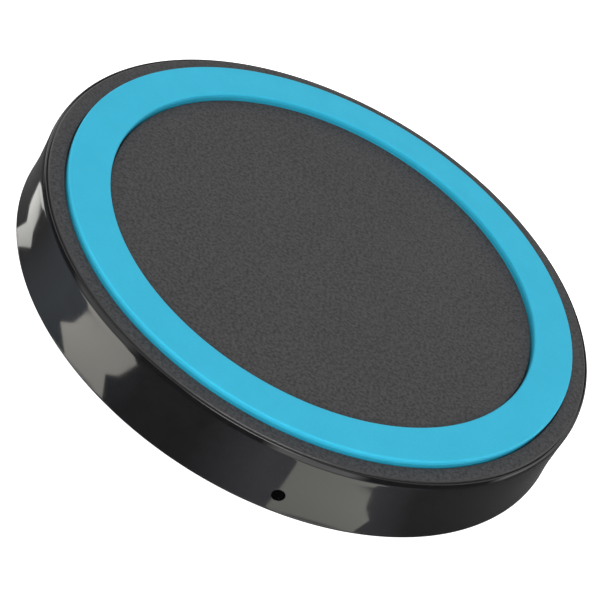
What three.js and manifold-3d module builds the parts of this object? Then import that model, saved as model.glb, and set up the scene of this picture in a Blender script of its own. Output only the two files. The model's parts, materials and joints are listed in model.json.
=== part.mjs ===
// Round wireless charging pad, in millimetres, with +Z up.
// The origin is on the pad's axis, in the plane that its four feet stand on.
// The status light looks out to -Y and the micro-USB inlet opens to +Y.

import * as THREE from 'three';
import { mergeVertices } from 'three/addons/utils/BufferGeometryUtils.js';
import Module from 'manifold-3d';

const wasm = await Module();
wasm.setup();

// Outer shape
const PAD_RADIUS = 35;
const PAD_HEIGHT = 10.15;
const FOOT_PROUD = 0.4;
const RING_PROUD = 0.9;
const RING_INNER = 27.13;
const RING_OUTER = 32.21;
const RING_SEAT_Z = 8.5;
const RING_GAP = 0.16;
const RING_EDGE = 0.12;
const DECK_Z = PAD_HEIGHT - RING_PROUD;
const TURNED_SIDES = 72;

// Walls of the two casing halves
const WALL_INNER = 33.1;
const FLOOR_TOP = 1.8;
const PARTING_Z = 9.1;
const SHELF_Z = 8.8;
const RIM_RADIUS = 34.38;
const RIM_EDGE = 0.12;
const RIM_GAP = 0.14;
const SHELL_EDGE_RADIUS = 34.68;
const DECK_UNDERSIDE = 7.8;
const LIP_INNER = 32;
const LIP_OUTER = 33;
const LIP_BOTTOM = 6.2;

// Feet and cover screws, on one circle
const FASTENER_CIRCLE = 29.3;
const FASTENER_COUNT = 4;
const FASTENER_START = Math.PI / 4;
const FOOT_RADIUS = 4;
const FOOT_TOP = 1.3;
const FOOT_CLEARANCE = 0.15;
const SCREW_SHOULDER = 2.2;
const SCREW_RADIUS = 1;
const SCREW_HEAD_RADIUS = 1.9;
const SCREW_HEAD_Z = 1.35;
const SCREW_TIP_Z = 6.6;
const BOSS_MEETS_Z = 3;
const COVER_BOSS_RADIUS = 2.4;
const SHELL_BOSS_RADIUS = 3.2;
const PILOT_EASE = 0.05;
const SCREW_EASE = 0.15;
const SCREW_HEAD_EASE = 0.3;

// Charging coil and its shield
const WIRE_RADIUS = 0.5;
const COIL_TURNS = 10;
const COIL_PITCH = 1.1;
const COIL_START_RADIUS = 10.8;
const COIL_Z = 7.05;
const COIL_STEPS_PER_TURN = 20;
const FERRITE_RADIUS = 25;
const FERRITE_Z = [4.5, 6.5];
const SHEET_Z = [4.3, 4.5];
const TAPE_Z = [7.56, 7.8];
const TAPE_RADIUS = 23;
const LEAD_SLOT_START = 7;
const LEAD_SLOT_WIDTH = 3.4;
const LEAD_OFFSET = 0.9;

// Circuit board
const BOARD_RADIUS = 25.8;
const BOARD_Z = [2.1, 2.9];
const BOARD_REAR_Y = 32;
const BOARD_REAR_WIDTH = 11;
const BOARD_FRONT_Y = 32.5;
const BOARD_FRONT_WIDTH = 7;
const PEG_CIRCLE = 21;
const PEG_ANGLES = [0.12, 0.88, 1.12, 1.88].map((turn) => turn * Math.PI);
const POST_RADIUS = 2;
const PEG_RADIUS = 0.75;
const PEG_TOP = 3.3;
const PEG_EASE = 0.15;

// Status light
const LIGHT_Z = 2.9;
const LIGHT_HOLE_RADIUS = 0.79;
const LED_SIZE = [3, 1.2, 1.2];
const LED_FRONT_Y = -32.9;

// Micro-USB inlet
const USB_LENGTH = 5.6;
const USB_MOUTH_Y = 33.9;
const USB_HALF_WIDTH = 3.75;
const USB_BASE_HALF_WIDTH = 2.85;
const USB_HEIGHT = 2.5;
const USB_CORNER_HEIGHT = 1;
const USB_SKIN = 0.3;
const USB_TONGUE = { halfWidth: 1.85, bottom: 1.35, top: 1.95, length: 3.6 };
const USB_BLOCK_LENGTH = 1.3;
const USB_CONTACTS = 5;
const USB_CONTACT_PITCH = 0.65;
const USB_CONTACT_SIZE = [0.28, 3.2, 0.1];
const USB_OPENING = { width: 8.3, height: 3.3, corner: 0.8 };

// How far joined solids reach into one another, and how close points are taken as one
const OVERLAP = 0.2;
const WELD = 1e-4;

const MATERIALS = {
  matteBlack: { color: '#4a4a4c', roughness: 0.75, metalness: 0 },
  glossBlack: { color: '#1d1d1f', roughness: 0.12, metalness: 0 },
  blueGrip: { color: '#44b7d5', roughness: 0.6, metalness: 0 },
  rubber: { color: '#1a1a1a', roughness: 0.85, metalness: 0 },
  zincSteel: { color: '#b9bcc0', roughness: 0.35, metalness: 1 },
  adhesiveTape: { color: '#d8c46a', roughness: 0.5, metalness: 0 },
  litzCopper: { color: '#b4642f', roughness: 0.4, metalness: 0.8 },
  ferrite: { color: '#3a3836', roughness: 0.6, metalness: 0.1 },
  insulation: { color: '#cfc8b4', roughness: 0.8, metalness: 0 },
  board: { color: '#1f5a32', roughness: 0.45, metalness: 0 },
  tinPlate: { color: '#c6c8c9', roughness: 0.3, metalness: 1 },
  blackResin: { color: '#151515', roughness: 0.55, metalness: 0 },
  goldPlate: { color: '#d8b25a', roughness: 0.3, metalness: 1 },
  ceramic: { color: '#a98a62', roughness: 0.5, metalness: 0 },
  ledLens: { color: '#e8e6d8', roughness: 0.25, metalness: 0 },
};

// A closed geometry as a manifold solid, for cutting and joining
function toSolid(geometry) {
  const bare = geometry.clone();
  bare.deleteAttribute('normal');
  bare.deleteAttribute('uv');
  const welded = mergeVertices(bare, WELD);
  return new wasm.Manifold(new wasm.Mesh({
    numProp: 3,
    vertProperties: welded.attributes.position.array,
    triVerts: Uint32Array.from(welded.index.array),
  }));
}

function toGeometry(solid) {
  const mesh = solid.getMesh();
  const geometry = new THREE.BufferGeometry();
  geometry.setAttribute('position', new THREE.BufferAttribute(mesh.vertProperties, 3));
  geometry.setIndex(new THREE.BufferAttribute(mesh.triVerts, 1));
  return geometry;
}

function join(...geometries) {
  return toGeometry(geometries.map(toSolid).reduce((sum, next) => sum.add(next)));
}

function cut(geometry, ...tools) {
  return toGeometry(tools.map(toSolid).reduce((rest, tool) => rest.subtract(tool), toSolid(geometry)));
}

// Turned about Z from [radius, z] points listed anticlockwise in the half plane
function turned(points, sides = TURNED_SIDES) {
  const outline = points.map(([radius, z]) => new THREE.Vector2(radius, z));
  return new THREE.LatheGeometry(outline, sides).rotateX(Math.PI / 2);
}

function turnedRing(points, sides = TURNED_SIDES) {
  return turned([...points, points[0]], sides);
}

function disc(radius, [bottom, top], sides = 24) {
  return turned([[0, bottom], [radius, bottom], [radius, top], [0, top]], sides);
}

function box([x0, x1], [y0, y1], [z0, z1]) {
  return new THREE.BoxGeometry(x1 - x0, y1 - y0, z1 - z0)
    .translate((x0 + x1) / 2, (y0 + y1) / 2, (z0 + z1) / 2);
}

function slab(shape, [bottom, top], curveSegments = 24) {
  return new THREE.ExtrudeGeometry(shape, { depth: top - bottom, bevelEnabled: false, curveSegments })
    .translate(0, 0, bottom);
}

// A shape drawn in X and Z, pushed back from y = front towards -Y
function pushedBack(shape, front, depth) {
  return new THREE.ExtrudeGeometry(shape, { depth, bevelEnabled: false, curveSegments: 6 })
    .rotateX(Math.PI / 2)
    .translate(0, front, 0);
}

function polygon(points) {
  return new THREE.Shape(points.map(([x, y]) => new THREE.Vector2(x, y)));
}

function roundedRectangle(width, height, corner) {
  const shape = new THREE.Shape();
  const x = width / 2 - corner;
  const y = height / 2 - corner;
  shape.absarc(x, y, corner, 0, Math.PI / 2);
  shape.absarc(-x, y, corner, Math.PI / 2, Math.PI);
  shape.absarc(-x, -y, corner, Math.PI, 1.5 * Math.PI);
  shape.absarc(x, -y, corner, 1.5 * Math.PI, 2 * Math.PI);
  return shape;
}

function onCircle(radius, angle) {
  return [radius * Math.cos(angle), radius * Math.sin(angle)];
}

function fastenerPlaces() {
  const angle = (i) => FASTENER_START + (2 * Math.PI * i) / FASTENER_COUNT;
  return Array.from({ length: FASTENER_COUNT }, (_, i) => onCircle(FASTENER_CIRCLE, angle(i)));
}

function pegPlaces() {
  return PEG_ANGLES.map((angle) => onCircle(PEG_CIRCLE, angle));
}

// Matte deck and rim in one moulding, with the ring's groove, an inner lip and four screw bosses
function topCover() {
  const plate = turned([
    [0, DECK_UNDERSIDE],
    [LIP_INNER, DECK_UNDERSIDE],
    [LIP_INNER, LIP_BOTTOM],
    [LIP_OUTER, LIP_BOTTOM],
    [LIP_OUTER, SHELF_Z],
    [RIM_RADIUS, SHELF_Z],
    [RIM_RADIUS, DECK_Z - RIM_EDGE],
    [RIM_RADIUS - RIM_EDGE, DECK_Z],
    [RING_OUTER + RING_GAP, DECK_Z],
    [RING_OUTER + RING_GAP, RING_SEAT_Z],
    [RING_INNER - RING_GAP, RING_SEAT_Z],
    [RING_INNER - RING_GAP, DECK_Z],
    [0, DECK_Z],
  ]);
  const bosses = fastenerPlaces().map(([x, y]) => (
    disc(COVER_BOSS_RADIUS, [BOSS_MEETS_Z, DECK_UNDERSIDE + OVERLAP]).translate(x, y, 0)
  ));
  const pilots = fastenerPlaces().map(([x, y]) => (
    disc(SCREW_RADIUS + PILOT_EASE, [BOSS_MEETS_Z - 1, SCREW_TIP_Z + 0.3]).translate(x, y, 0)
  ));
  return cut(join(plate, ...bosses), ...pilots);
}

// Raised soft ring, pressed into the cover's groove
function gripRing() {
  return turnedRing([
    [RING_INNER, RING_SEAT_Z],
    [RING_OUTER, RING_SEAT_Z],
    [RING_OUTER, PAD_HEIGHT - RING_EDGE],
    [RING_OUTER - RING_EDGE, PAD_HEIGHT],
    [RING_INNER + RING_EDGE, PAD_HEIGHT],
    [RING_INNER, PAD_HEIGHT - RING_EDGE],
  ]);
}

// Gloss dish: its wall flares a little at the foot, and its top edge stands round the cover's rim
function shellDish() {
  return turned([
    [0, FOOT_PROUD],
    [34.65, FOOT_PROUD],
    [34.9, FOOT_PROUD + 0.1],
    [PAD_RADIUS, FOOT_PROUD + 0.35],
    [34.92, 1.8],
    [34.79, 3.3],
    [34.77, 5.5],
    [34.81, PARTING_Z - 1.1],
    [34.81, PARTING_Z - 0.7],
    [34.78, PARTING_Z - 0.4],
    [SHELL_EDGE_RADIUS + 0.03, PARTING_Z - 0.1],
    [SHELL_EDGE_RADIUS - 0.06, PARTING_Z],
    [RIM_RADIUS + RIM_GAP, PARTING_Z],
    [RIM_RADIUS + RIM_GAP, SHELF_Z],
    [WALL_INNER, SHELF_Z],
    [WALL_INNER, FLOOR_TOP],
    [0, FLOOR_TOP],
  ]);
}

function bottomShell() {
  const bosses = fastenerPlaces().map(([x, y]) => (
    disc(SHELL_BOSS_RADIUS, [FLOOR_TOP - OVERLAP, BOSS_MEETS_Z]).translate(x, y, 0)
  ));
  const post = join(
    disc(POST_RADIUS, [FLOOR_TOP - OVERLAP, BOARD_Z[0]], 16),
    disc(PEG_RADIUS, [FLOOR_TOP, PEG_TOP], 16),
  );
  const posts = pegPlaces().map(([x, y]) => post.clone().translate(x, y, 0));
  const recess = join(
    disc(FOOT_RADIUS + FOOT_CLEARANCE, [0, FOOT_TOP], 32),
    disc(SCREW_HEAD_RADIUS + SCREW_HEAD_EASE, [0, SCREW_SHOULDER]),
    disc(SCREW_RADIUS + SCREW_EASE, [0, BOSS_MEETS_Z + 1]),
  );
  const recesses = fastenerPlaces().map(([x, y]) => recess.clone().translate(x, y, 0));
  const lightHole = new THREE.CylinderGeometry(LIGHT_HOLE_RADIUS, LIGHT_HOLE_RADIUS, 6, 20)
    .translate(0, -PAD_RADIUS, LIGHT_Z);
  const inletHole = pushedBack(
    roundedRectangle(USB_OPENING.width, USB_OPENING.height, USB_OPENING.corner), PAD_RADIUS + 2, 6,
  ).translate(0, 0, BOARD_Z[1] + USB_HEIGHT / 2);
  return cut(join(shellDish(), ...bosses, ...posts), ...recesses, lightHole, inletHole);
}

// Rubber foot, with a small radius round its standing face
function foot() {
  return turned([
    [0, 0],
    [FOOT_RADIUS - 0.2, 0],
    [FOOT_RADIUS - 0.05, 0.06],
    [FOOT_RADIUS, 0.2],
    [FOOT_RADIUS, FOOT_TOP],
    [0, FOOT_TOP],
  ], 24);
}

// Self-tapping screw with its cross recess facing down
function screw() {
  const body = turned([
    [0, SCREW_HEAD_Z],
    [1.3, SCREW_HEAD_Z],
    [SCREW_HEAD_RADIUS, SCREW_HEAD_Z + 0.4],
    [SCREW_HEAD_RADIUS, SCREW_SHOULDER],
    [SCREW_RADIUS, SCREW_SHOULDER],
    [SCREW_RADIUS, SCREW_TIP_Z - 1],
    [0, SCREW_TIP_Z],
  ], 20);
  const slotZ = [SCREW_HEAD_Z - 0.5, SCREW_HEAD_Z + 0.5];
  return cut(body, box([-1.1, 1.1], [-0.22, 0.22], slotZ), box([-0.22, 0.22], [-1.1, 1.1], slotZ));
}

// A path through given points, with one extrusion step from each point to the next
class PointPath extends THREE.Curve {
  constructor(points) {
    super();
    this.points = points;
  }

  getPoint(t, target = new THREE.Vector3()) {
    const place = t * (this.points.length - 1);
    const index = Math.min(Math.floor(place), this.points.length - 2);
    return target.lerpVectors(this.points[index], this.points[index + 1], place - index);
  }

  getUtoTmapping(u) {
    return u;
  }
}

// Litz wire: up from the board, round the spiral, and down to the board again
function transmitterCoil() {
  const lead = [
    [LEAD_OFFSET, BOARD_Z[1] + 0.05],
    [LEAD_OFFSET, 4.6],
    [LEAD_OFFSET, 6.2],
    [LEAD_OFFSET - 0.12, 6.72],
    [LEAD_OFFSET - 0.5, 7.0],
  ];
  const points = lead.map(([y, z]) => new THREE.Vector3(COIL_START_RADIUS, -y, z));
  const steps = COIL_TURNS * COIL_STEPS_PER_TURN;
  for (let i = 0; i <= steps; i += 1) {
    const turns = i / COIL_STEPS_PER_TURN;
    const [x, y] = onCircle(COIL_START_RADIUS + COIL_PITCH * turns, 2 * Math.PI * turns);
    points.push(new THREE.Vector3(x, y, COIL_Z));
  }
  const endRadius = COIL_START_RADIUS + COIL_PITCH * COIL_TURNS;
  lead.reverse().forEach(([y, z]) => points.push(new THREE.Vector3(endRadius, y, z)));
  const section = new THREE.Shape().absarc(0, 0, WIRE_RADIUS, 0, 2 * Math.PI);
  return new THREE.ExtrudeGeometry(section, {
    steps: points.length - 1,
    curveSegments: 3,
    extrudePath: new PointPath(points),
  });
}

// Disc with a radial slot that both coil leads pass down through
function slottedDisc(height) {
  const half = LEAD_SLOT_WIDTH / 2;
  const angle = Math.asin(half / FERRITE_RADIUS);
  const shape = new THREE.Shape();
  shape.moveTo(LEAD_SLOT_START, half);
  shape.lineTo(FERRITE_RADIUS * Math.cos(angle), half);
  shape.absarc(0, 0, FERRITE_RADIUS, angle, 2 * Math.PI - angle);
  shape.lineTo(LEAD_SLOT_START, -half);
  return slab(shape, height, 30);
}

// Round board with a tongue at the rear for the inlet and one in front for the light
function circuitBoard() {
  const rearHalf = BOARD_REAR_WIDTH / 2;
  const frontHalf = BOARD_FRONT_WIDTH / 2;
  const rearAngle = Math.PI / 2 - Math.asin(rearHalf / BOARD_RADIUS);
  const frontAngle = Math.PI / 2 - Math.asin(frontHalf / BOARD_RADIUS);
  const notchHalf = LED_SIZE[0] / 2 + 0.1;
  const notchY = LED_FRONT_Y + LED_SIZE[1] + 0.1;
  const shape = new THREE.Shape();
  shape.moveTo(rearHalf, BOARD_REAR_Y);
  shape.lineTo(-rearHalf, BOARD_REAR_Y);
  shape.absarc(0, 0, BOARD_RADIUS, Math.PI - rearAngle, Math.PI + frontAngle);
  shape.lineTo(-frontHalf, -BOARD_FRONT_Y);
  shape.lineTo(-notchHalf, -BOARD_FRONT_Y);
  shape.lineTo(-notchHalf, notchY);
  shape.lineTo(notchHalf, notchY);
  shape.lineTo(notchHalf, -BOARD_FRONT_Y);
  shape.lineTo(frontHalf, -BOARD_FRONT_Y);
  shape.absarc(0, 0, BOARD_RADIUS, 2 * Math.PI - frontAngle, 2 * Math.PI + rearAngle);
  pegPlaces().forEach(([x, y]) => {
    shape.holes.push(new THREE.Path().absarc(x, y, PEG_RADIUS + PEG_EASE, 0, 2 * Math.PI, true));
  });
  return slab(shape, BOARD_Z, 12);
}

// Inlet outline, wide at the top, drawn in by inset on every side; its base is at z = 0
function inletOutline(inset) {
  const wide = USB_HALF_WIDTH - inset;
  const narrow = USB_BASE_HALF_WIDTH - inset / 2;
  const top = USB_HEIGHT - inset;
  return polygon([
    [wide, USB_CORNER_HEIGHT], [wide, top], [-wide, top], [-wide, USB_CORNER_HEIGHT],
    [-narrow, inset], [narrow, inset],
  ]);
}

function usbShell() {
  const tube = inletOutline(0);
  tube.holes.push(new THREE.Path(inletOutline(USB_SKIN).getPoints()));
  return pushedBack(tube, USB_MOUTH_Y, USB_LENGTH);
}

function usbInsulator() {
  const rear = USB_MOUTH_Y - USB_LENGTH;
  const blockFront = rear + USB_BLOCK_LENGTH;
  const { halfWidth, bottom, top, length } = USB_TONGUE;
  return join(
    pushedBack(inletOutline(USB_SKIN + 0.04), blockFront, USB_BLOCK_LENGTH),
    box([-halfWidth, halfWidth], [blockFront - OVERLAP, blockFront + length], [bottom, top]),
  );
}

// Small-outline package with gull-wing legs along two sides; its feet stand on z = 0
function leggedPackage({ body, legs, legPitch, legReach, legWidth = 0.4, legsOpposite = legs }) {
  const [length, width, height] = body;
  const block = box([-length / 2, length / 2], [-width / 2, width / 2], [0.12, height]);
  const row = (count, side) => Array.from({ length: count }, (_, i) => {
    const x = (i - (count - 1) / 2) * legPitch;
    const across = [x - legWidth / 2, x + legWidth / 2];
    const ordered = (near, far) => [side * near, side * far].sort((a, b) => a - b);
    return join(
      box(across, ordered(width / 2 - 0.2, width / 2 + 0.4), [0.5, 0.7]),
      box(across, ordered(width / 2 + 0.2, width / 2 + 0.4), [0, 0.7]),
      box(across, ordered(width / 2 + 0.2, width / 2 + legReach), [0, 0.18]),
    );
  });
  return join(block, ...row(legs, -1), ...row(legsOpposite, 1));
}

// Square leadless package with pads showing along all four edges
function controller() {
  const half = 2.5;
  const pads = [];
  for (let side = 0; side < 4; side += 1) {
    for (let i = 0; i < 8; i += 1) {
      const x = (i - 3.5) * 0.5;
      pads.push(box([x - 0.12, x + 0.12], [half - 0.3, half + 0.06], [0, 0.2]).rotateZ(side * Math.PI / 2));
    }
  }
  return join(box([-half, half], [-half, half], [0.02, 0.85]), ...pads);
}

// Chip part: a body between two slightly larger metal ends
function chip(length, width, height, endLength) {
  const half = length / 2;
  const side = width / 2;
  return join(
    box([-half + 0.1, half - 0.1], [-side + 0.05, side - 0.05], [0.04, height - 0.04]),
    box([-half, -half + endLength], [-side, side], [0, height]),
    box([half - endLength, half], [-side, side], [0, height]),
  );
}

function material(name) {
  return new THREE.MeshStandardMaterial(MATERIALS[name]);
}

const pad = new THREE.Group();

function add(name, geometry, materialName, place = [0, 0, 0], turn = 0) {
  const mesh = new THREE.Mesh(geometry, material(materialName));
  mesh.name = name;
  mesh.position.set(...place);
  mesh.rotation.z = turn;
  pad.add(mesh);
}

function addEach(name, geometry, materialName, places, turn = 0) {
  places.forEach((place, i) => add(`${name}_${i + 1}`, geometry, materialName, place, turn));
}

// Casing
add('bottom_shell', bottomShell(), 'glossBlack');
add('top_cover', topCover(), 'matteBlack');
add('grip_ring', gripRing(), 'blueGrip');
addEach('foot', foot(), 'rubber', fastenerPlaces().map(([x, y]) => [x, y, 0]));
addEach('screw', screw(), 'zincSteel', fastenerPlaces().map(([x, y]) => [x, y, 0]));

// Coil stack, hung from the deck
add('coil_tape', disc(TAPE_RADIUS, TAPE_Z, 48), 'adhesiveTape');
add('transmitter_coil', transmitterCoil(), 'litzCopper');
add('ferrite_plate', slottedDisc(FERRITE_Z), 'ferrite');
add('insulator_sheet', slottedDisc(SHEET_Z), 'insulation');

// Board and what is soldered to it
const onBoard = (x, y) => [x, y, BOARD_Z[1]];
const smallOutline8 = leggedPackage({ body: [4.9, 3.9, 1.35], legs: 4, legPitch: 1.27, legReach: 1.05 });
const regulator = leggedPackage({
  body: [2.9, 1.4, 1.1], legs: 2, legsOpposite: 1, legPitch: 1.9, legReach: 0.6,
});
add('circuit_board', circuitBoard(), 'board');
add('controller_ic', controller(), 'blackResin', onBoard(-9, 2), Math.PI / 4);
addEach('mosfet', smallOutline8, 'blackResin', [onBoard(10, 10), onBoard(10, -10)]);
add('signal_amplifier', smallOutline8, 'blackResin', onBoard(-10, -9));
add('voltage_regulator', regulator, 'blackResin', onBoard(-7, 13));
addEach('resonant_capacitor', chip(3.2, 1.6, 1.25, 0.5), 'ceramic', [
  onBoard(17, 5.4), onBoard(17, 7.6), onBoard(17, -5.4), onBoard(17, -7.6),
]);
addEach('input_capacitor', chip(3.2, 1.6, 1.25, 0.5), 'ceramic', [onBoard(-2.6, 21), onBoard(2.6, 21)]);
add('current_sense_resistor', chip(6.3, 3.2, 0.6, 0.6), 'blackResin', onBoard(2, -16));
add('status_led', box(
  [-LED_SIZE[0] / 2, LED_SIZE[0] / 2],
  [LED_FRONT_Y, LED_FRONT_Y + LED_SIZE[1]],
  [LIGHT_Z - LED_SIZE[2] / 2, LIGHT_Z + LED_SIZE[2] / 2],
), 'ledLens');

// Micro-USB inlet on the board's rear tongue
const contactRear = USB_MOUTH_Y - USB_LENGTH + USB_BLOCK_LENGTH;
const contactTop = BOARD_Z[1] + USB_TONGUE.bottom;
const contactPlaces = Array.from({ length: USB_CONTACTS }, (_, i) => (
  [(i - (USB_CONTACTS - 1) / 2) * USB_CONTACT_PITCH, contactRear, contactTop]
));
const contact = box(
  [-USB_CONTACT_SIZE[0] / 2, USB_CONTACT_SIZE[0] / 2],
  [0.02, USB_CONTACT_SIZE[1]],
  [-USB_CONTACT_SIZE[2], 0],
);
add('usb_shell', usbShell(), 'tinPlate', onBoard(0, 0));
add('usb_insulator', usbInsulator(), 'blackResin', onBoard(0, 0));
addEach('usb_contact', contact, 'goldPlate', contactPlaces);

export default pad;
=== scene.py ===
import json
import math

import bmesh
import bpy
from mathutils import Matrix, Vector


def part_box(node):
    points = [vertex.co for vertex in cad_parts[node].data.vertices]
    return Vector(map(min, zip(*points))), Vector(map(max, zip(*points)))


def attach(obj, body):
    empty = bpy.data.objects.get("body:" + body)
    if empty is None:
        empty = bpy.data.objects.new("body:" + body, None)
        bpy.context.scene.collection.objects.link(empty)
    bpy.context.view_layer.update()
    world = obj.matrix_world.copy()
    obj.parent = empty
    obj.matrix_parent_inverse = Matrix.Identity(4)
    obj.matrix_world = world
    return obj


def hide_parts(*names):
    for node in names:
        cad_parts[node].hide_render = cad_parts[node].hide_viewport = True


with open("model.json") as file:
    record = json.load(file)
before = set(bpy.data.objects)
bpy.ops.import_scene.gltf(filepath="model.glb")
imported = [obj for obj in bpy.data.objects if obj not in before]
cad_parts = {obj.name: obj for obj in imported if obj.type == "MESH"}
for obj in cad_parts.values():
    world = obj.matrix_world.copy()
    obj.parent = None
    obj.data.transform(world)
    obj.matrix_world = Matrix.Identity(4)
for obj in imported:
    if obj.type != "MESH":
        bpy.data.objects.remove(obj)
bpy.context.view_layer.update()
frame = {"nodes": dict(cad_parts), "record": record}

MM = 0.001

# Places and sizes that the frame gives, in metres
shell_low, shell_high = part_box("bottom_shell")
cover_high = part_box("top_cover")[1]
ring_low, ring_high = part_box("grip_ring")
foot_low, foot_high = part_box("foot_1")
inlet_low, inlet_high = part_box("usb_shell")
led_low, led_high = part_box("status_led")
screw_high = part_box("screw_1")[1]
board_low, board_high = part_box("circuit_board")

PAD_RADIUS = shell_high.x
FOOT_OF_WALL = shell_low.z
PARTING = shell_high.z
DECK = cover_high.z
RIM_RADIUS = cover_high.x
LIP_BOTTOM = cover_high.z - 3.05 * MM
RING_TOP = ring_high.z
RING_SEAT = ring_low.z
RING_OUTER = ring_high.x
RING_WIDTH = 5.08 * MM
RING_GAP = 0.16 * MM
LIGHT_HEIGHT = (led_low.z + led_high.z) / 2
INLET_HEIGHT = (inlet_low.z + inlet_high.z) / 2
FASTENER_CIRCLE = math.hypot((foot_low.x + foot_high.x) / 2, (foot_low.y + foot_high.y) / 2)
FASTENER_ANGLES = [math.radians(45 + 90 * i) for i in range(4)]
PEG_CIRCLE = 21 * MM
PEG_ANGLES = [turn * math.pi for turn in (0.12, 0.88, 1.12, 1.88)]

# Casing walls, as in the CAD
WALL_INNER = 33.1 * MM
FLOOR_TOP = 1.8 * MM
DECK_UNDERSIDE = 7.8 * MM
LIP_INNER = 32.0 * MM
LIP_OUTER = 33.0 * MM
LIGHT_HOLE_RADIUS = 0.79 * MM
INLET_HOLE_WIDTH = 8.3 * MM
INLET_HOLE_HEIGHT = 3.3 * MM
# A little rounder than in the CAD
INLET_HOLE_CORNER = 0.9 * MM

# The outer wall's slight waist, as its reflections need it
WAIST_RADIUS = PAD_RADIUS - 0.23 * MM
WAIST_HEIGHT = 4.6 * MM
WALL_TOP = PARTING - 1.4 * MM

# Radii of the bosses, the pegs and the holes for the screws, as in the CAD
SHELL_BOSS = 3.2 * MM
COVER_BOSS = 2.4 * MM
SCREW_HEAD_HOLE = 2.2 * MM
SCREW_HOLE = 1.15 * MM
PILOT_HOLE = 1.05 * MM
PEG_POST = 2 * MM
PEG = 0.75 * MM

# The height where the two halves' bosses meet, and the gap round a foot
BOSS_MEETING = 3.0 * MM
FOOT_GAP = 0.15 * MM

# How far a boss reaches into the wall that it stands on
OVERLAP = 0.2 * MM

LATHE_SIDES = 384
ARC_STEPS = 5

# The camera, solved from the outlines in the photo: it looks at a point beside the pad's middle
CAMERA_AZIMUTH = -14.76
CAMERA_ELEVATION = 35.9
CAMERA_ROLL = 31.11
CAMERA_DISTANCE = 290.4 * MM
CAMERA_AIM = Vector((-0.93 * MM, -3.77 * MM, 4.92 * MM))
CAMERA_LENS = 150


# ---------------------------------------------------------------- shapes

def rounded(corners, closed=False):
    """An outline through (radius, height, fillet) corners, with each fillet as an arc."""
    count = len(corners)
    points = []
    for i, (x, y, fillet) in enumerate(corners):
        here = Vector((x, y))
        at_end = not closed and i in (0, count - 1)
        if fillet == 0 or at_end:
            points.append(here)
            continue
        before = (Vector(corners[i - 1][:2]) - here).normalized()
        after = (Vector(corners[(i + 1) % count][:2]) - here).normalized()
        half = before.angle(after) / 2
        middle = here + (before + after).normalized() * (fillet / math.sin(half))
        start = here + before * (fillet / math.tan(half)) - middle
        end = here + after * (fillet / math.tan(half)) - middle
        turn = start.angle_signed(end)
        for step in range(ARC_STEPS + 1):
            angle = -turn * step / ARC_STEPS
            points.append(middle + Matrix.Rotation(angle, 2) @ start)
    return points


def finish_mesh(name, bm, smooth_angle=32):
    """A new object from bm, shaded smooth between edges flatter than smooth_angle."""
    bmesh.ops.recalc_face_normals(bm, faces=bm.faces)
    mesh = bpy.data.meshes.new(name)
    bm.to_mesh(mesh)
    bm.free()
    piece = bpy.data.objects.new(name, mesh)
    bpy.context.scene.collection.objects.link(piece)
    shade(piece, smooth_angle)
    return piece


def shade(piece, smooth_angle=32):
    piece.data.polygons.foreach_set("use_smooth", [True] * len(piece.data.polygons))
    piece.data.set_sharp_from_angle(angle=math.radians(smooth_angle))


def lathe(name, outline, closed=False, sides=LATHE_SIDES):
    """Turns an outline about Z. An open one starts and ends on the axis."""
    bm = bmesh.new()
    columns = []
    for point in outline:
        if point.x < 1e-9:
            columns.append([bm.verts.new((0, 0, point.y))] * sides)
        else:
            angles = [2 * math.pi * k / sides for k in range(sides)]
            circle = [(point.x * math.cos(a), point.x * math.sin(a), point.y) for a in angles]
            columns.append([bm.verts.new(place) for place in circle])
    last = len(columns) if closed else len(columns) - 1
    for j in range(last):
        low, high = columns[j], columns[(j + 1) % len(columns)]
        for k in range(sides):
            n = (k + 1) % sides
            corners = dict.fromkeys((low[k], low[n], high[n], high[k]))
            if len(corners) > 2:
                bm.faces.new(corners)
    return finish_mesh(name, bm)


def post(radius, bottom, top, x=0, y=0, sides=48):
    """A plain cutter or boss standing along Z."""
    outline = rounded([(0, bottom, 0), (radius, bottom, 0), (radius, top, 0), (0, top, 0)])
    piece = lathe("cutter", outline, sides=sides)
    piece.location = (x, y, 0)
    return piece


def combine(piece, others, operation):
    """Adds or cuts away other solids, which are used up."""
    for other in others:
        modifier = piece.modifiers.new("cut", "BOOLEAN")
        modifier.operation = operation
        modifier.solver = "EXACT"
        modifier.object = other
    bpy.context.view_layer.update()
    evaluated = piece.evaluated_get(bpy.context.evaluated_depsgraph_get())
    mesh = bpy.data.meshes.new_from_object(evaluated)
    piece.modifiers.clear()
    piece.data = mesh
    for other in others:
        bpy.data.objects.remove(other)
    return piece


def even_normals(piece):
    """Weights the shading by face area, so that flats stay flat beside their fillets."""
    modifier = piece.modifiers.new("even", "WEIGHTED_NORMAL")
    modifier.keep_sharp = True
    modifier.weight = 80
    bpy.context.view_layer.update()
    evaluated = piece.evaluated_get(bpy.context.evaluated_depsgraph_get())
    mesh = bpy.data.meshes.new_from_object(evaluated)
    piece.modifiers.clear()
    piece.data = mesh


def stand_for(piece, node, material):
    """Puts a finished piece in a CAD node's place."""
    piece.data.materials.clear()
    piece.data.materials.append(material)
    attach(piece, "root")
    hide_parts(node)


def peg_places():
    return [(PEG_CIRCLE * math.cos(a), PEG_CIRCLE * math.sin(a)) for a in PEG_ANGLES]


def fastener_places():
    return [(FASTENER_CIRCLE * math.cos(a), FASTENER_CIRCLE * math.sin(a)) for a in FASTENER_ANGLES]


# ---------------------------------------------------------------- materials

def new_material(name):
    material = bpy.data.materials.new(name)
    material.use_nodes = True
    nodes, links = material.node_tree.nodes, material.node_tree.links
    return material, nodes, links, nodes["Principled BSDF"]


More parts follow.
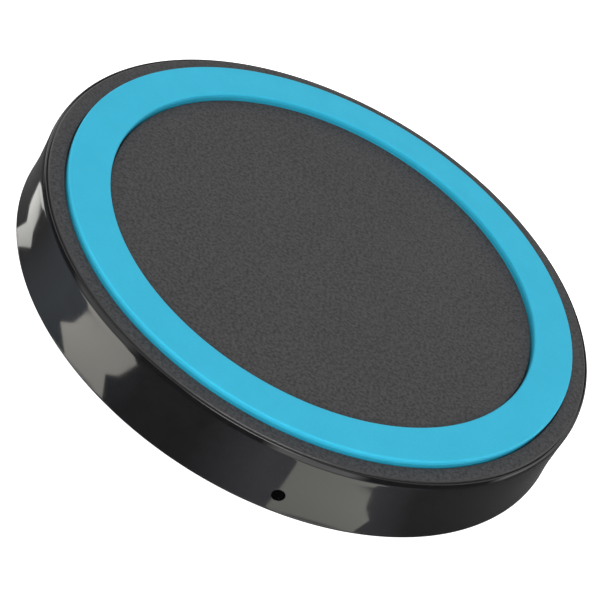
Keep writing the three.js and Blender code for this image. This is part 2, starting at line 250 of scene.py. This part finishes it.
def noise(nodes, links, scale, detail=3.0, roughness=0.5):
    place = nodes.new("ShaderNodeTexCoord")
    texture = nodes.new("ShaderNodeTexNoise")
    texture.inputs["Scale"].default_value = scale
    texture.inputs["Detail"].default_value = detail
    texture.inputs["Roughness"].default_value = roughness
    links.new(place.outputs["Object"], texture.inputs["Vector"])
    return texture.outputs["Fac"]


def ramp(nodes, links, value, low, high, start=0.3, end=0.7):
    """Runs from colour low to colour high as value goes from start to end."""
    node = nodes.new("ShaderNodeValToRGB")
    node.color_ramp.elements[0].position = start
    node.color_ramp.elements[0].color = (*low, 1)
    node.color_ramp.elements[1].position = end
    node.color_ramp.elements[1].color = (*high, 1)
    links.new(value, node.inputs["Fac"])
    return node.outputs["Color"]


def span(nodes, links, value, low, high, start=0.3, end=0.7):
    node = nodes.new("ShaderNodeMapRange")
    node.inputs["From Min"].default_value = start
    node.inputs["From Max"].default_value = end
    node.inputs["To Min"].default_value = low
    node.inputs["To Max"].default_value = high
    links.new(value, node.inputs["Value"])
    return node.outputs["Result"]


def distance_from_axis(nodes, links):
    place = nodes.new("ShaderNodeTexCoord")
    flat = nodes.new("ShaderNodeVectorMath")
    flat.operation = "MULTIPLY"
    flat.inputs[1].default_value = (1, 1, 0)
    links.new(place.outputs["Object"], flat.inputs[0])
    length = nodes.new("ShaderNodeVectorMath")
    length.operation = "LENGTH"
    links.new(flat.outputs["Vector"], length.inputs[0])
    return length.outputs["Value"]


def bump(nodes, links, height, distance, under=None):
    node = nodes.new("ShaderNodeBump")
    node.inputs["Distance"].default_value = distance
    node.inputs["Strength"].default_value = 1
    links.new(height, node.inputs["Height"])
    if under is not None:
        links.new(under, node.inputs["Normal"])
    return node.outputs["Normal"]


def speckled(name, dark, light, scale, roughness, relief, metallic=0.0):
    """A plain moulded, cast or plated finish: mottled colour, uneven gloss and fine relief."""
    material, nodes, links, shader = new_material(name)
    grain = noise(nodes, links, scale)
    patches = noise(nodes, links, scale / 12, detail=2)
    shader.inputs["Metallic"].default_value = metallic
    links.new(ramp(nodes, links, grain, dark, light), shader.inputs["Base Color"])
    links.new(span(nodes, links, patches, *roughness), shader.inputs["Roughness"])
    links.new(bump(nodes, links, grain, relief), shader.inputs["Normal"])
    return material


def matte_plastic():
    """Spark-eroded matte ABS: a fine sandy grain over faint, wide unevenness.
    The rim's edge is smoother, and its colour darker: partly a polished edge, partly painted shade beside
    the parting groove."""
    material, nodes, links, shader = new_material("matte_black_abs")
    grain = noise(nodes, links, 2900, detail=1, roughness=0.5)
    pits = noise(nodes, links, 1700, detail=3, roughness=0.55)
    wide = noise(nodes, links, 90, detail=2)
    tone = ramp(nodes, links, grain, (0.034, 0.033, 0.034), (0.071, 0.070, 0.072), 0.3, 0.7)
    reach = distance_from_axis(nodes, links)
    # Near the rim's edge the colour turns a darker near-black: partly the polished edge, partly painted
    # shade beside the parting groove.
    edge = span(nodes, links, reach, 0, 1, RIM_RADIUS - 0.22 * MM, RIM_RADIUS - 0.14 * MM)
    links.new(mix_colour(nodes, links, edge, tone, (0.030, 0.030, 0.031)), shader.inputs["Base Color"])
    rough = span(nodes, links, wide, 0.50, 0.58)
    smoother = span(nodes, links, edge, 0, 0.20, 0, 1)
    links.new(math_node(nodes, links, "SUBTRACT", rough, smoother), shader.inputs["Roughness"])
    links.new(span(nodes, links, edge, 0.12, 0.45, 0, 1), shader.inputs["Specular IOR Level"])
    coarse = bump(nodes, links, pits, 10e-6)
    links.new(bump(nodes, links, grain, 6e-6, under=coarse), shader.inputs["Normal"])
    return material


def gloss_plastic():
    """Polished ABS: mirror gloss with a very slight moulded waviness and hairline wear."""
    material, nodes, links, shader = new_material("gloss_black_abs")
    wave = noise(nodes, links, 45, detail=1)
    haze = noise(nodes, links, 700, detail=4, roughness=0.6)
    tone = ramp(nodes, links, haze, (0.0042, 0.0042, 0.0048), (0.0060, 0.0060, 0.0066))
    links.new(tone, shader.inputs["Base Color"])
    links.new(span(nodes, links, haze, 0.045, 0.075), shader.inputs["Roughness"])
    links.new(bump(nodes, links, wave, 6e-6), shader.inputs["Normal"])
    return material


def soft_plastic():
    """Blue soft-touch plastic with a fine, even bloom."""
    material, nodes, links, shader = new_material("blue_soft_plastic")
    grain = noise(nodes, links, 3800, detail=2)
    cloud = noise(nodes, links, 260, detail=3)
    tone = ramp(nodes, links, cloud, (0.026, 0.445, 0.655), (0.030, 0.470, 0.690))
    links.new(tone, shader.inputs["Base Color"])
    links.new(span(nodes, links, grain, 0.62, 0.76), shader.inputs["Roughness"])
    shader.inputs["Specular IOR Level"].default_value = 0.42
    shader.inputs["Subsurface Weight"].default_value = 0.15
    shader.inputs["Subsurface Radius"].default_value = (0.3, 1.0, 1.0)
    shader.inputs["Subsurface Scale"].default_value = 0.35 * MM
    links.new(bump(nodes, links, grain, 5e-6), shader.inputs["Normal"])
    return material


def hidden_materials():
    """Finishes for the pieces inside, by record slot."""
    return {
        "black_rubber": speckled(
            "black_rubber", (0.010, 0.010, 0.010), (0.020, 0.020, 0.020), 1600, (0.7, 0.85), 12e-6,
        ),
        "zinc_plated_steel": speckled(
            "zinc_plate", (0.48, 0.49, 0.52), (0.58, 0.59, 0.61), 900, (0.25, 0.4), 2e-6, 1.0,
        ),
        "adhesive_tape": speckled(
            "adhesive_tape", (0.62, 0.50, 0.14), (0.70, 0.57, 0.18), 500, (0.35, 0.5), 6e-6,
        ),
        "litz_copper": speckled(
            "litz_copper", (0.36, 0.10, 0.03), (0.60, 0.22, 0.08), 2600, (0.3, 0.45), 40e-6, 0.9,
        ),
        "sintered_ferrite": speckled(
            "ferrite", (0.030, 0.029, 0.028), (0.052, 0.050, 0.047), 1800, (0.45, 0.6), 8e-6,
        ),
        "insulating_paper": speckled(
            "insulating_paper", (0.56, 0.52, 0.41), (0.66, 0.62, 0.50), 1200, (0.7, 0.85), 5e-6,
        ),
        "circuit_laminate": speckled(
            "solder_mask", (0.010, 0.080, 0.026), (0.018, 0.115, 0.038), 420, (0.25, 0.4), 6e-6,
        ),
        "tin_plated_steel": speckled(
            "tin_plate", (0.55, 0.56, 0.57), (0.64, 0.65, 0.65), 1100, (0.22, 0.36), 2e-6, 1.0,
        ),
        "black_moulded_resin": speckled(
            "black_resin", (0.007, 0.007, 0.007), (0.014, 0.014, 0.014), 2400, (0.45, 0.6), 5e-6,
        ),
        "gold_plated_contact": speckled(
            "gold_plate", (0.72, 0.47, 0.13), (0.80, 0.55, 0.18), 1500, (0.18, 0.3), 1e-6, 1.0,
        ),
        "tan_ceramic": speckled(
            "tan_ceramic", (0.34, 0.21, 0.10), (0.44, 0.29, 0.15), 1500, (0.4, 0.55), 4e-6,
        ),
        # The LED's resin is given a dark colour: painted shade, standing in for the dark inside of the
        # light hole.
        "clear_led_resin": speckled(
            "led_resin", (0.045, 0.042, 0.030), (0.065, 0.060, 0.045), 800, (0.15, 0.25), 2e-6,
        ),
    }


# ---------------------------------------------------------------- casing

def wall_radius(height):
    """The wall draws in to its waist from the foot, and comes out again slightly to the lip."""
    if height < WAIST_HEIGHT:
        below = (WAIST_HEIGHT - height) / (WAIST_HEIGHT - FOOT_OF_WALL)
        return WAIST_RADIUS + (PAD_RADIUS - WAIST_RADIUS) * below ** 2
    above = (height - WAIST_HEIGHT) / (WALL_TOP - WAIST_HEIGHT)
    return WAIST_RADIUS + 0.04 * MM * above ** 2


def shell_outline():
    fillet = 0.35 * MM
    first = FOOT_OF_WALL + 0.45 * MM
    steps = 16
    heights = [first + (WALL_TOP - first) * i / steps for i in range(steps + 1)]
    wall = [(wall_radius(h), h, 0) for h in heights]
    edge = [
        (PAD_RADIUS - 0.17 * MM, PARTING - 0.65 * MM, 1.5 * MM),
        (PAD_RADIUS - 0.31 * MM, PARTING, 0.14 * MM),
        (RIM_RADIUS + 0.14 * MM, PARTING, 0.02 * MM),
        (RIM_RADIUS + 0.14 * MM, PARTING - 0.3 * MM, 0),
    ]
    return rounded([
        (0, FOOT_OF_WALL, 0),
        (PAD_RADIUS, FOOT_OF_WALL, fillet),
        *wall,
        *edge,
        (WALL_INNER, PARTING - 0.3 * MM, 0),
        (WALL_INNER, FLOOR_TOP, 0.3 * MM),
        (0, FLOOR_TOP, 0),
    ])


def light_hole():
    """A cutter along Y with a small break round its mouth."""
    mouth = PAD_RADIUS - 0.16 * MM
    outline = [Vector(p) for p in (
        (0, 30 * MM),
        (LIGHT_HOLE_RADIUS, 30 * MM),
        (LIGHT_HOLE_RADIUS, mouth),
        (LIGHT_HOLE_RADIUS + 0.3 * MM, mouth + 0.4 * MM),
        (LIGHT_HOLE_RADIUS + 0.3 * MM, 38 * MM),
        (0, 38 * MM),
    )]
    cutter = lathe("cutter", outline, sides=64)
    lying = Matrix.Rotation(math.radians(90), 4, "X")
    cutter.data.transform(Matrix.Translation((0, 0, LIGHT_HEIGHT)) @ lying)
    return cutter


def rounded_rectangle(width, height, corner, steps=8):
    """Outline points in X and Z, anticlockwise seen from -Y."""
    points = []
    for quarter in range(4):
        sx = (1, -1, -1, 1)[quarter]
        sz = (1, 1, -1, -1)[quarter]
        for step in range(steps + 1):
            angle = math.radians(90) * (quarter + step / steps)
            x = sx * (width / 2 - corner) + corner * math.cos(angle)
            z = sz * (height / 2 - corner) + corner * math.sin(angle)
            points.append((x, z))
    return points


def prism(name, sections):
    """Joins equal-length loops of (x, y, z) points, one after the other, into a closed solid."""
    bm = bmesh.new()
    loops = [[bm.verts.new(p) for p in section] for section in sections]
    count = len(loops[0])
    for low, high in zip(loops, loops[1:]):
        for k in range(count):
            n = (k + 1) % count
            bm.faces.new((low[k], low[n], high[n], high[k]))
    bm.faces.new(loops[0])
    bm.faces.new(reversed(loops[-1]))
    return finish_mesh(name, bm)


def inlet_hole():
    """Rounded opening for the plug, with its outer edge broken."""
    flare = 0.35 * MM
    face = PAD_RADIUS - 0.25 * MM
    steps = (
        (WALL_INNER - 1.5 * MM, 0),
        (face - flare, 0),
        (face, flare * 0.35),
        (PAD_RADIUS + 2 * MM, flare * 6),
    )
    sections = []
    for y, grow in steps:
        width = INLET_HOLE_WIDTH + 2 * grow
        height = INLET_HOLE_HEIGHT + 2 * grow
        outline = rounded_rectangle(width, height, INLET_HOLE_CORNER + grow)
        sections.append([(x, y, INLET_HEIGHT + z) for x, z in outline])
    return prism("cutter", sections)


def build_shell(material):
    shell = lathe("gloss_shell", shell_outline())
    rooted = FLOOR_TOP - OVERLAP
    bosses = [post(SHELL_BOSS, rooted, BOSS_MEETING, x, y) for x, y in fastener_places()]
    for x, y in peg_places():
        bosses.append(post(PEG_POST, rooted, board_low.z, x, y, sides=32))
        bosses.append(post(PEG, FLOOR_TOP, board_high.z + 0.4 * MM, x, y, sides=32))
    combine(shell, bosses, "UNION")
    cutters = [light_hole(), inlet_hole()]
    for x, y in fastener_places():
        cutters.append(post(foot_radius() + FOOT_GAP, -1 * MM, foot_high.z, x, y, sides=96))
        cutters.append(post(SCREW_HEAD_HOLE, 0, 2.2 * MM, x, y))
        cutters.append(post(SCREW_HOLE, 0, 4 * MM, x, y))
    combine(shell, cutters, "DIFFERENCE")
    shade(shell)
    even_normals(shell)
    stand_for(shell, "bottom_shell", material)


def foot_radius():
    return (foot_high.x - foot_low.x) / 2


def build_cover(material):
    inner = RING_OUTER - RING_WIDTH - RING_GAP
    outer = RING_OUTER + RING_GAP
    cover = lathe("deck_moulding", rounded([
        (0, DECK_UNDERSIDE, 0),
        (LIP_INNER, DECK_UNDERSIDE, 0.2 * MM),
        (LIP_INNER, LIP_BOTTOM, 0.1 * MM),
        (LIP_OUTER, LIP_BOTTOM, 0.3 * MM),
        (LIP_OUTER, PARTING - 0.25 * MM, 0),
        (RIM_RADIUS, PARTING - 0.25 * MM, 0),
        (RIM_RADIUS, DECK, 0.22 * MM),
        (outer, DECK, 0.08 * MM),
        (outer, RING_SEAT, 0),
        (inner, RING_SEAT, 0),
        (inner, DECK, 0.08 * MM),
        (0, DECK, 0),
    ]))
    rooted = DECK_UNDERSIDE + OVERLAP
    bosses = [post(COVER_BOSS, BOSS_MEETING, rooted, x, y) for x, y in fastener_places()]
    combine(cover, bosses, "UNION")
    pilot_top = screw_high.z + 0.3 * MM
    pilots = [post(PILOT_HOLE, 2.0 * MM, pilot_top, x, y) for x, y in fastener_places()]
    combine(cover, pilots, "DIFFERENCE")
    shade(cover)
    even_normals(cover)
    stand_for(cover, "top_cover", material)


def build_ring(material):
    inner = RING_OUTER - RING_WIDTH
    crown = 0.02 * MM
    undercut = 0.10 * MM
    widest = DECK + 0.30 * MM
    ring = lathe("blue_grip_ring", rounded([
        (inner + undercut, RING_SEAT, 0.05 * MM),
        (RING_OUTER - undercut, RING_SEAT, 0.05 * MM),
        (RING_OUTER - undercut, DECK, 0.25 * MM),
        (RING_OUTER, widest, 0.25 * MM),
        (RING_OUTER, RING_TOP - crown, 0.24 * MM),
        ((inner + RING_OUTER) / 2, RING_TOP, 0),
        (inner, RING_TOP - crown, 0.24 * MM),
        (inner, widest, 0.25 * MM),
        (inner + undercut, DECK, 0.25 * MM),
    ], closed=True), closed=True)
    even_normals(ring)
    stand_for(ring, "grip_ring", material)


def build_feet(material):
    radius = foot_radius()
    for i, (x, y) in enumerate(fastener_places()):
        foot = lathe(f"rubber_foot_{i + 1}", rounded([
            (0, foot_low.z, 0),
            (radius, foot_low.z, 0.25 * MM),
            (radius, foot_high.z, 0.1 * MM),
            (0, foot_high.z, 0),
        ]), sides=96)
        foot.location = (x, y, 0)
        even_normals(foot)
        stand_for(foot, f"foot_{i + 1}", material)


# ---------------------------------------------------------------- stage, lights and camera

def towards(azimuth, elevation):
    """Direction from the pad, by degrees round from the front and degrees up."""
    turn, rise = math.radians(azimuth), math.radians(elevation)
    return Vector((
        math.sin(turn) * math.cos(rise),
        -math.cos(turn) * math.cos(rise),
        math.sin(rise),
    ))


def aim_camera():
    azimuth, roll = math.radians(CAMERA_AZIMUTH), math.radians(CAMERA_ROLL)
    back = towards(CAMERA_AZIMUTH, CAMERA_ELEVATION)
    level = Vector((math.cos(azimuth), math.sin(azimuth), 0))
    rise = back.cross(level)
    right = level * math.cos(roll) + rise * math.sin(roll)
    up = rise * math.cos(roll) - level * math.sin(roll)
    camera = bpy.data.objects.new("camera", bpy.data.cameras.new("camera"))
    camera.data.lens = CAMERA_LENS
    camera.data.sensor_width = 36
    camera.data.clip_start = 10 * MM
    camera.data.clip_end = 10
    turn = Matrix((right, up, back)).transposed()
    camera.matrix_world = Matrix.Translation(CAMERA_AIM + back * CAMERA_DISTANCE) @ turn.to_4x4()
    bpy.context.scene.collection.objects.link(camera)
    bpy.context.scene.camera = camera
    return camera


def emission_material(name, colour):
    material = bpy.data.materials.new(name)
    material.use_nodes = True
    nodes, links = material.node_tree.nodes, material.node_tree.links
    nodes.clear()
    light = nodes.new("ShaderNodeEmission")
    light.inputs["Color"].default_value = (*colour, 1)
    light.inputs["Strength"].default_value = 1
    links.new(light.outputs[0], nodes.new("ShaderNodeOutputMaterial").inputs["Surface"])
    material.cycles.emission_sampling = "NONE"
    return material


def build_floor():
    """A flat white floor that glows, so that it stays pale under the pad. Gloss doesn't see it."""
    material = bpy.data.materials.new("white_floor")
    material.use_nodes = True
    nodes, links = material.node_tree.nodes, material.node_tree.links
    shader = nodes["Principled BSDF"]
    shader.inputs["Base Color"].default_value = (0.9, 0.9, 0.9, 1)
    shader.inputs["Roughness"].default_value = 0.9
    shader.inputs["Emission Color"].default_value = (1, 1, 1, 1)
    shader.inputs["Emission Strength"].default_value = 0.93
    material.cycles.emission_sampling = "NONE"
    bm = bmesh.new()
    bmesh.ops.create_grid(bm, x_segments=1, y_segments=1, size=3)
    floor = finish_mesh("floor", bm)
    floor.data.materials.append(material)
    floor.visible_glossy = False


# How far under the floor the cards lie
CARD_DEPTH = 1.5


def mirrored(eye, azimuth, height):
    """Where the line from eye, mirrored by the wall at (azimuth, height), meets the cards' plane."""
    height *= MM
    angle = math.radians(azimuth)
    outwards = Vector((math.sin(angle), -math.cos(angle), 0))
    slope = (wall_radius(height + 0.01 * MM) - wall_radius(height - 0.01 * MM)) / (0.02 * MM)
    normal = (outwards - Vector((0, 0, slope))).normalized()
    place = outwards * wall_radius(height) + Vector((0, 0, height))
    ray = (place - eye).normalized().reflect(normal)
    return place + ray * ((place.z + CARD_DEPTH) / -ray.z)


def light_card(name, eye, outline, colour):
    """A lit card under the floor, seen only in gloss, drawn as its outline on the wall:
    (azimuth in degrees, height in millimetres) points."""
    bm = bmesh.new()
    bm.faces.new([bm.verts.new(mirrored(eye, azimuth, height)) for azimuth, height in outline])
    card = finish_mesh(name, bm)
    card.data.materials.append(emission_material(name, colour))
    for ray in ("camera", "diffuse", "transmission", "volume_scatter", "shadow"):
        setattr(card, f"visible_{ray}", False)


def build_cards(eye):
    """Three plain cards, laid where the main camera sees them mirrored in the wall."""
    light_card("side_card", eye, [
        (-81, 8.5), (-77, 3.5), (-80, 0.7), (-75, 0.7), (-70, 3.5), (-73, 6.5), (-78, 8.5),
    ], (2.2, 2.2, 2.1))
    light_card("left_card", eye, [
        (-43, 8.4), (-47.5, 7.5), (-52, 3), (-47, 0.7), (-36, 0.7), (-38, 3.5), (-33, 8.4),
    ], (3.6, 3.5, 3.2))
    light_card("front_card", eye, [
        (-0.3, 8.5), (-1, 0.6), (16, 0.6), (18, 2.8), (15, 7), (10, 8.5),
    ], (2.3, 2.3, 2.1))


# Broad dim glows low down in the room, a cool one to the left and a wider one in front:
# (degrees, half width in degrees, colour)
LOW_GLOWS = ((-90, 12, (0.4, 0.45, 0.5)), (25, 18, (0.6, 0.6, 0.65)))
LOW_GLOW_EDGE = 28
BETWEEN_GLOWS = 0.12
# Soft boxes standing round the pad: (degrees, half width in degrees, colour)
SOFT_BOXES = (
    (-150, 12, (1.4, 1.4, 1.4)),
    (-71, 13, (1.0, 1.0, 1.0)),
    (19, 13, (1.8, 1.8, 1.8)),
    (105, 10, (1.4, 1.4, 1.4)),
    (165, 8, (1.0, 1.0, 1.0)),
)
SOFT_BOX_EDGE = 7
BETWEEN_BOXES = 0.06
# A broad reflector behind the pad, from the horizon up, and a soft box high in front: (azimuth, elevation)
REFLECTOR_MIDDLE = (165, 10)
REFLECTOR_LIGHT = 1.2
REFLECTOR_EDGE = (0.6, 0.95)
TOP_BOX_MIDDLE = (-4, 60)
TOP_BOX_LIGHT = 8.5
TOP_BOX_EDGE = (0.94, 0.98)
# Where the low glows give way to the soft boxes, and where the reflector begins, as a direction's Z
LOW_END = (-0.42, -0.34)
HORIZON = (-0.02, 0.04)
# Even light from all round on the surfaces, beside the key light
AROUND = 0.72


def compass_ramp(nodes, links, compass, stops):
    node = nodes.new("ShaderNodeValToRGB")
    elements = node.color_ramp.elements
    while len(elements) > 1:
        elements.remove(elements[-1])
    for i, (angle, colour) in enumerate(stops):
        element = elements[0] if i == 0 else elements.new(angle / 360 + 0.5)
        element.position = angle / 360 + 0.5
        element.color = (*colour, 1)
    links.new(compass, node.inputs["Fac"])
    return node.outputs["Color"]


def glow_stops(glows, edge, between):
    """Stops for compass_ramp: each light fades over its edge to the grey between the lights."""
    dim = (between,) * 3
    stops = []
    for middle, half, colour in glows:
        stops += [
            (middle - half - edge, dim),
            (middle - half, colour),
            (middle + half, colour),
            (middle + half + edge, dim),
        ]
    return stops


def math_node(nodes, links, operation, first, second=None):
    node = nodes.new("ShaderNodeMath")
    node.operation = operation
    for socket, value in zip(node.inputs, (first, second)):
        if isinstance(value, (int, float)):
            socket.default_value = value
        elif value is not None:
            links.new(value, socket)
    return node.outputs[0]


def mix_colour(nodes, links, factor, first, second):
    node = nodes.new("ShaderNodeMix")
    node.data_type = "RGBA"
    links.new(factor, node.inputs[0])
    for socket, value in ((node.inputs[6], first), (node.inputs[7], second)):
        if isinstance(value, tuple):
            socket.default_value = (*value, 1)
        else:
            links.new(value, socket)
    return node.outputs[2]


def facing(nodes, links, direction, middle):
    """How squarely a direction points at the middle of a light: 1 is straight at it."""
    node = nodes.new("ShaderNodeVectorMath")
    node.operation = "DOT_PRODUCT"
    node.inputs[1].default_value = towards(*middle)
    links.new(direction.outputs["Generated"], node.inputs[0])
    return node.outputs["Value"]


def build_gloss_room(nodes, links):
    """A dark room with soft boxes, as the gloss sees it."""
    direction = nodes.new("ShaderNodeTexCoord")
    axes = nodes.new("ShaderNodeSeparateXYZ")
    links.new(direction.outputs["Generated"], axes.inputs[0])
    x, y, z = axes.outputs
    turn = math_node(nodes, links, "ARCTAN2", x, math_node(nodes, links, "MULTIPLY", y, -1.0))
    compass = math_node(nodes, links, "MULTIPLY_ADD", turn, 1 / (2 * math.pi))
    compass.node.inputs[2].default_value = 0.5
    glows = glow_stops(LOW_GLOWS, LOW_GLOW_EDGE, BETWEEN_GLOWS)
    boxes = glow_stops(SOFT_BOXES, SOFT_BOX_EDGE, BETWEEN_BOXES)
    low = compass_ramp(nodes, links, compass, glows)
    high = compass_ramp(nodes, links, compass, boxes)
    middle = mix_colour(nodes, links, span(nodes, links, z, 0, 1, *LOW_END), low, high)
    at_reflector = facing(nodes, links, direction, REFLECTOR_MIDDLE)
    reflector = span(nodes, links, at_reflector, 0, 1, *REFLECTOR_EDGE)
    above = span(nodes, links, z, 0, 1, *HORIZON)
    part = math_node(nodes, links, "MULTIPLY", reflector, above)
    behind = mix_colour(nodes, links, part, middle, (REFLECTOR_LIGHT,) * 3)
    at_top_box = facing(nodes, links, direction, TOP_BOX_MIDDLE)
    top_box = span(nodes, links, at_top_box, 0, 1, *TOP_BOX_EDGE)
    return mix_colour(nodes, links, top_box, behind, (TOP_BOX_LIGHT,) * 3)


def build_world():
    """White all round for the camera, even light for matt surfaces, and a room for the gloss."""
    world = bpy.data.worlds.new("studio")
    bpy.context.scene.world = world
    world.use_nodes = True
    nodes, links = world.node_tree.nodes, world.node_tree.links
    nodes.clear()
    gloss = build_gloss_room(nodes, links)
    path = nodes.new("ShaderNodeLightPath")
    for_gloss = path.outputs["Is Glossy Ray"]
    for_camera = path.outputs["Is Camera Ray"]
    surfaces = mix_colour(nodes, links, for_gloss, (AROUND,) * 3, gloss)
    seen = mix_colour(nodes, links, for_camera, surfaces, (1.0, 1.0, 1.0))
    background = nodes.new("ShaderNodeBackground")
    links.new(seen, background.inputs["Color"])
    links.new(background.outputs[0], nodes.new("ShaderNodeOutputWorld").inputs["Surface"])


def soft_light(name, azimuth, elevation, distance, size, power):
    """A round soft box looking at the pad from a compass angle and a height in degrees."""
    light = bpy.data.lights.new(name, "AREA")
    light.shape = "DISK"
    light.size = size
    light.energy = power
    lamp = bpy.data.objects.new(name, light)
    place = distance * towards(azimuth, elevation)
    lamp.location = place
    lamp.rotation_euler = (-place).to_track_quat("-Z", "Y").to_euler()
    lamp.visible_glossy = False
    bpy.context.scene.collection.objects.link(lamp)


# ---------------------------------------------------------------- the scene

scene = bpy.context.scene
scene.view_settings.view_transform = "Standard"

camera = aim_camera()
eye = CAMERA_AIM + camera.matrix_world.to_3x3().col[2] * CAMERA_DISTANCE

materials = hidden_materials()
build_shell(gloss_plastic())
build_cover(matte_plastic())
build_ring(soft_plastic())
build_feet(materials["black_rubber"])

slot_of = {part["node"]: part["material_slot"] for part in frame["record"]["subparts"]}
for name, node in frame["nodes"].items():
    if slot_of[name] in materials:
        node.data.materials.clear()
        node.data.materials.append(materials[slot_of[name]])

build_floor()
build_cards(eye)
build_world()
soft_light("key", azimuth=-10, elevation=33, distance=1.2, size=0.5, power=7.0)
